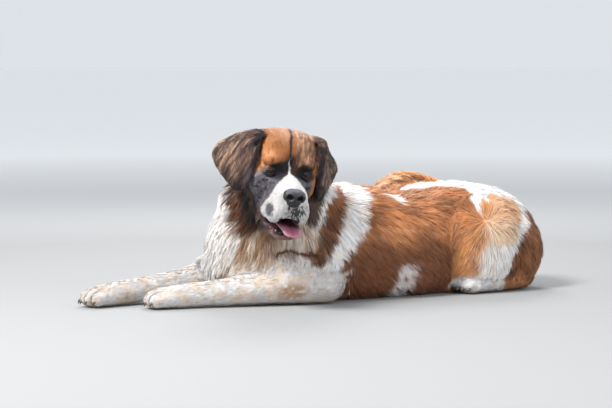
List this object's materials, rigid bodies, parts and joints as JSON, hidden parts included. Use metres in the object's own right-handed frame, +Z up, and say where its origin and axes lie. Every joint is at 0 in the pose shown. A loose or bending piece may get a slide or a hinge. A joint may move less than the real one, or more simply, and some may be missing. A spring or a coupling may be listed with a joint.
{
  "type": "saint bernard dog, lying, still model",
  "caption": "Life-size still model of a long-haired Saint Bernard lying on its breast, forelegs stretched out, head turned to its left with the mouth open.",
  "frame": {"origin": "middle of the whole dog's bounding box, on the floor it lies on", "axes": "+Z up, the dog's trunk faces -Y, its left side is +X"},
  "size_m": [0.5821, 1.4839, 0.5087],
  "materials": {
    "white_coat": "long soft white hair",
    "red_coat": "long red-brown hair",
    "orange_coat": "long orange and cream hair",
    "dark_coat": "short black-brown hair",
    "nose_leather": "moist black nose leather and claws",
    "tongue": "moist pink",
    "eye": "wet dark brown"
  },
  "bodies": {
    "root": {"barrel": "red_coat", "chest": "white_coat", "ear_left": "dark_coat", "ear_right": "dark_coat", "eye_left": "eye", "eye_right": "eye", "foreleg_left": "white_coat", "foreleg_right": "white_coat", "forepaw_left": "white_coat", "forepaw_right": "white_coat", "head": "dark_coat", "hind_foot_left": "white_coat", "hind_foot_right": "white_coat", "lower_jaw": "dark_coat", "neck": "white_coat", "nose": "nose_leather", "rump": "white_coat", "tail_end": "orange_coat", "tail_root": "white_coat", "thigh_left": "orange_coat", "thigh_right": "orange_coat", "tongue": "tongue"}
  },
  "joints": []
}
